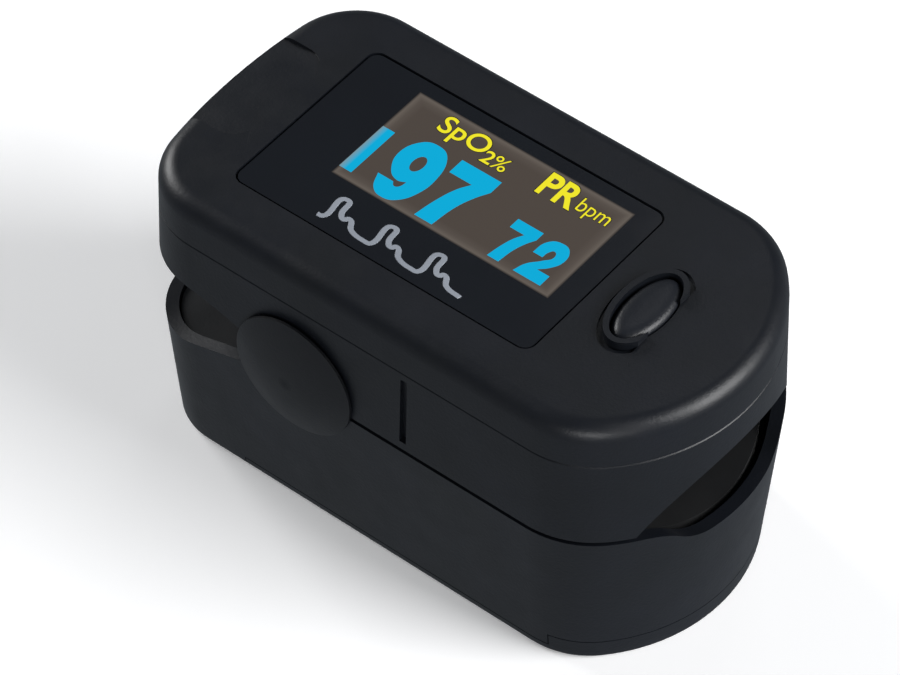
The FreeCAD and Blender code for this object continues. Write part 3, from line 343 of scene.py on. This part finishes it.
def lit(name, colour, strength=1.0):
    """A lit area of the display seen through the gloss of the window over it."""
    material, tree = start_material(name)
    finish_material(tree, node(tree, "ShaderNodeBsdfPrincipled", {
        "Base Color": srgb(UNLIT), "Roughness": 0.1, "Emission Color": srgb(colour),
        "Emission Strength": strength}))
    return material


def print_piece(name, mesh, low, high, level, material):
    """Put a flat mesh into a rectangle on the window's top, at a level in mm above it."""
    xs = [v.co.x for v in mesh.vertices]
    ys = [v.co.y for v in mesh.vertices]
    zs = [v.co.z for v in mesh.vertices]
    wide = (high[0] - low[0]) * MM / (max(xs) - min(xs))
    tall = (high[1] - low[1]) * MM / (max(ys) - min(ys))
    thin = LAYER / max(max(zs) - min(zs), 1e-9)
    corner = Vector((display_left + low[0] * MM, display_low + low[1] * MM,
                     glass_top + level * MM))
    mesh.transform(Matrix.Translation(corner) @ Matrix.Diagonal((wide, tall, thin, 1)) @
                   Matrix.Translation((-min(xs), -min(ys), -min(zs))))
    mesh.name = name
    mesh.materials.clear()
    mesh.materials.append(material)
    piece = bpy.data.objects.new(name, mesh)
    scene.collection.objects.link(piece)
    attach(piece, "upper_jaw")


JOIN = 1e-5  # in text units; joins the fronts of letters to their sides


def curve_mesh(curve):
    """The closed mesh of a curve or text, its faces outwards."""
    holder = bpy.data.objects.new("holder", curve)
    scene.collection.objects.link(holder)
    bpy.context.view_layer.update()
    ready = holder.evaluated_get(bpy.context.evaluated_depsgraph_get())
    mesh = bpy.data.meshes.new_from_object(ready)
    bpy.data.objects.remove(holder)
    work = bmesh.new()
    work.from_mesh(mesh)
    bmesh.ops.remove_doubles(work, verts=work.verts, dist=JOIN)
    bmesh.ops.dissolve_degenerate(work, edges=work.edges, dist=JOIN)
    bmesh.ops.recalc_face_normals(work, faces=work.faces)
    work.to_mesh(mesh)
    work.free()
    return mesh


def digit(*loops):
    """A filled digit from closed loops of (x, y, smooth) points."""
    curve = bpy.data.curves.new("digit", "CURVE")
    curve.dimensions = "2D"
    curve.fill_mode = "BOTH"
    curve.extrude = 0.01
    for loop in loops:
        spline = curve.splines.new("BEZIER")
        spline.bezier_points.add(len(loop) - 1)
        for point, (x, y, smooth) in zip(spline.bezier_points, loop):
            point.co = (x, y, 0)
            point.handle_left_type = point.handle_right_type = "AUTO" if smooth else "VECTOR"
        spline.use_cyclic_u = True
    return curve_mesh(curve)


def word(text, weight):
    """A text in the built-in sans face, thickened by weight."""
    curve = bpy.data.curves.new("word", "FONT")
    curve.body = text
    curve.offset = weight
    curve.extrude = 0.01
    curve.resolution_u = 6
    return curve_mesh(curve)


NINE = ([(0.02, 0.265, 0), (0.385, 0.265, 0), (0.47, 0.215, 1), (0.565, 0.25, 1), (0.6, 0.34, 0),
         (0.41, 0.305, 1), (0.14, 0.41, 1), (0.0, 0.65, 1), (0.14, 0.9, 1), (0.49, 1.0, 1),
         (0.84, 0.89, 1), (1.0, 0.55, 1), (0.945, 0.28, 1), (0.76, 0.08, 1), (0.47, 0.0, 1),
         (0.175, 0.07, 1)],
        [(0.48, 0.77, 1), (0.61, 0.64, 1), (0.48, 0.51, 1), (0.35, 0.64, 1)])
SEVEN = ([(0, 1, 0), (1, 1, 0), (1, 0.795, 0), (0.825, 0.6, 1), (0.69, 0.36, 1), (0.61, 0, 0),
          (0.17, 0, 0), (0.265, 0.32, 1), (0.4, 0.585, 1), (0.57, 0.76, 0), (0, 0.76, 0)],)
TWO = ([(0.02, 0.54, 0), (0.08, 0.82, 1), (0.5, 1.0, 1), (0.93, 0.87, 1), (0.98, 0.65, 1),
        (0.82, 0.44, 1), (0.54, 0.267, 0), (1, 0.267, 0), (1, 0, 0), (0, 0, 0), (0.12, 0.23, 1),
        (0.46, 0.48, 1), (0.65, 0.67, 1), (0.52, 0.77, 1), (0.39, 0.67, 1), (0.37, 0.54, 0)],)


def shaded_field():
    """The unlit ground of the display: warm grey, paler in a soft band along its border."""
    material, tree = start_material("display_field")
    place = node(tree, "ShaderNodeTexCoord")
    axes = node(tree, "ShaderNodeSeparateXYZ", {"Vector": place.outputs["Object"]})
    edges = []
    for axis, start, length in (("X", display_left, DISPLAY[0]),
                                ("Y", display_low, DISPLAY[1])):
        half = length / 2 * MM
        middle = node(tree, "ShaderNodeMath", {0: axes.outputs[axis], 1: start + half},
                      operation="SUBTRACT")
        away = node(tree, "ShaderNodeMath", {0: middle.outputs[0]}, operation="ABSOLUTE")
        edges.append(node(tree, "ShaderNodeMath", {0: half, 1: away.outputs[0]},
                          operation="SUBTRACT"))
    near = node(tree, "ShaderNodeMath", {0: edges[0].outputs[0], 1: edges[1].outputs[0]},
                operation="MINIMUM")
    depth = node(tree, "ShaderNodeMapRange", {"Value": near.outputs[0], "From Max": BORDER})
    tone = node(tree, "ShaderNodeValToRGB", {"Fac": depth.outputs["Result"]})
    ramp = tone.color_ramp.elements
    ramp[0].color = srgb("#2E2A28")
    ramp[1].color = srgb("#4E4640")
    ramp.new(0.16).color = srgb("#655D56")
    ramp.new(0.5).color = srgb("#564E48")
    finish_material(tree, node(tree, "ShaderNodeBsdfPrincipled", {
        "Base Color": srgb(UNLIT), "Roughness": 0.1, "Emission Color": tone.outputs["Color"],
        "Emission Strength": GLOW}))
    return material


def fading_bar():
    """The level bar: its left end pales into the border."""
    material, tree = start_material("display_bar")
    place = node(tree, "ShaderNodeTexCoord")
    axes = node(tree, "ShaderNodeSeparateXYZ", {"Vector": place.outputs["Object"]})
    along = node(tree, "ShaderNodeMapRange", {
        "Value": axes.outputs["X"], "From Min": display_left,
        "From Max": display_left + BAR_FADE})
    tone = node(tree, "ShaderNodeValToRGB", {"Fac": along.outputs["Result"]})
    tone.color_ramp.elements[0].color = srgb("#7E98A0")
    tone.color_ramp.elements[1].color = srgb(CYAN)
    finish_material(tree, node(tree, "ShaderNodeBsdfPrincipled", {
        "Base Color": srgb(UNLIT), "Roughness": 0.1, "Emission Color": tone.outputs["Color"],
        "Emission Strength": GLOW}))
    return material


cyan = lit("display_cyan", CYAN, GLOW)
yellow = lit("display_yellow", "#F0E628")
outline_ink = lit("display_shadow", "#2A2622")
field = shaded_field()
bar = fading_bar()

panel = bmesh.new()
bmesh.ops.create_grid(panel, x_segments=1, y_segments=1, size=1)
bmesh.ops.solidify(panel, geom=panel.faces[:], thickness=0.01)
bmesh.ops.recalc_face_normals(panel, faces=panel.faces)
panel_mesh = bpy.data.meshes.new("panel")
panel.to_mesh(panel_mesh)
panel.free()
print_piece("display_field", panel_mesh, (0, 0), DISPLAY, 0, field)
print_piece("level_bar", panel_mesh.copy(), (0.05, 1.0), (1.37, 7.0), STEP, bar)

DIGITS = [("saturation_nine", NINE, (3.1, 0.37), (7.65, 8.12)),
          ("saturation_seven", SEVEN, (7.93, 0.53), (12.23, 8.07)),
          ("pulse_seven", SEVEN, (15.93, 0.7), (18.65, 5.62)),
          ("pulse_two", TWO, (19.15, 0.7), (22.03, 5.7))]
for name, loops, lower, upper in DIGITS:
    print_piece(name, digit(*loops), lower, upper, STEP, cyan)

# Each label sits on a dark copy of itself that is a little larger and mostly bolder.  The bold
# letters are no bolder than their face allows before its corners fold over.
LABELS = [("saturation_word", "SpO", 0.012, 0.032, (3.78, 8.87), (8.93, 11.62)),
          ("saturation_two", "2", 0.012, 0.032, (9.0, 8.93), (10.02, 10.45)),
          ("saturation_percent", "%", 0.0, 0.02, (10.08, 8.93), (11.52, 10.53)),
          ("pulse_word", "PR", 0.025, 0.025, (14.98, 9.0), (18.7, 11.82)),
          ("pulse_unit", "bpm", -0.005, 0.015, (18.93, 8.95), (22.2, 11.1))]
EDGE = 0.09  # mm of dark border round a label
for name, text, weight, edge_weight, lower, upper in LABELS:
    print_piece(name, word(text, weight), lower, upper, 2 * STEP, yellow)
    print_piece(name + "_edge", word(text, edge_weight), (lower[0] - EDGE, lower[1] - EDGE),
                (upper[0] + EDGE, upper[1] + EDGE), STEP, outline_ink)


BEATS = 3
BEAT_HEIGHT = 0.62   # of a beat's length
HALF_STROKE = 0.052  # of a beat's length


def pulse_mesh():
    """Heartbeats of a pulse wave as one flat stroke with round ends."""
    beat = [(0.0, 0.0), (0.1, 0.03), (0.2, 1.0), (0.33, 0.42), (0.42, 0.3), (0.5, 0.42),
            (0.68, 0.1)]
    line = [(count + x, y) for count in range(BEATS) for x, y in beat] + [(float(BEATS), 0.0)]
    curve = bpy.data.curves.new("pulse", "CURVE")
    curve.dimensions = "3D"
    curve.bevel_depth = HALF_STROKE
    curve.bevel_resolution = 3
    curve.use_fill_caps = True
    spline = curve.splines.new("BEZIER")
    spline.bezier_points.add(len(line) - 1)
    for point, (x, y) in zip(spline.bezier_points, line):
        point.co = (x, y * BEAT_HEIGHT, 0)
        point.handle_left_type = point.handle_right_type = "AUTO"
    return curve_mesh(curve)


# Silver screen print: fine aluminium flake in clear ink.
silver = moulded("silver_ink", "#888E98", "#9298A2", 0.45, 0.12, 0.3, 0.5)
print_piece("pulse_wave", pulse_mesh(), (2.1, -4.75), (17.65, -1.45), 0.0, silver)


# ---- key ------------------------------------------------------------------------------------


KEY_SIDES = 96
KEY_CREASE = 40             # degrees, past which an edge stays crisp
FLANGE_REACH = 0.7 * MM     # of the flange past the crown
FLANGE_HEIGHT = 0.6 * MM


def oval_stack(name, centre, rings, material, body):
    """A closed stack of (half X, half Y, height) ovals, capped at both ends."""
    work = bmesh.new()
    bmesh.ops.create_circle(work, cap_ends=True, segments=KEY_SIDES, radius=1)
    half_x, half_y, level = rings[0]
    bmesh.ops.scale(work, verts=work.verts, vec=(half_x, half_y, 1))
    bmesh.ops.translate(work, verts=work.verts, vec=(centre.x, centre.y, level))
    cap = work.faces[:]
    for step, ring in enumerate(rings[1:]):
        made = bmesh.ops.extrude_face_region(work, geom=cap)["geom"]
        if step:
            bmesh.ops.delete(work, geom=cap, context="FACES_ONLY")
        cap = [item for item in made if isinstance(item, bmesh.types.BMFace)]
        verts = [item for item in made if isinstance(item, bmesh.types.BMVert)]
        at = Matrix.Translation((-centre.x, -centre.y, 0))
        bmesh.ops.scale(work, verts=verts, vec=(ring[0] / half_x, ring[1] / half_y, 1), space=at)
        bmesh.ops.translate(work, verts=verts, vec=(0, 0, ring[2] - level))
        half_x, half_y, level = ring
    bmesh.ops.recalc_face_normals(work, faces=work.faces)
    for face in work.faces:
        face.smooth = True
    for edge in work.edges:
        edge.smooth = edge.calc_face_angle(0) < math.radians(KEY_CREASE)
    mesh = bpy.data.meshes.new(name)
    work.to_mesh(mesh)
    work.free()
    mesh.materials.append(material)
    piece = bpy.data.objects.new(name, mesh)
    scene.collection.objects.link(piece)
    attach(piece, body)
    return piece


def make_key():
    """The power key: a flange under the cover and a high oval crown."""
    low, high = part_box("power_button")
    flange_x, flange_y = (high.x - low.x) / 2, (high.y - low.y) / 2
    key_x, key_y = flange_x - FLANGE_REACH, flange_y - FLANGE_REACH
    flange_z = low.z + FLANGE_HEIGHT
    crown = [(0.0, 1.0), (0.05, 0.62), (0.2, 0.36), (0.45, 0.19), (0.8, 0.08), (1.2, 0.02),
             (1.6, 0.0)]
    rings = [(flange_x, flange_y, low.z), (flange_x, flange_y, flange_z),
             (key_x, key_y, flange_z)]
    rings += [(key_x - inset * MM, key_y - inset * MM, high.z - drop * MM)
              for inset, drop in crown]
    key = oval_stack("key_cap", (low + high) / 2, rings, key_abs, "power_key")
    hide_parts("power_button")


make_key()
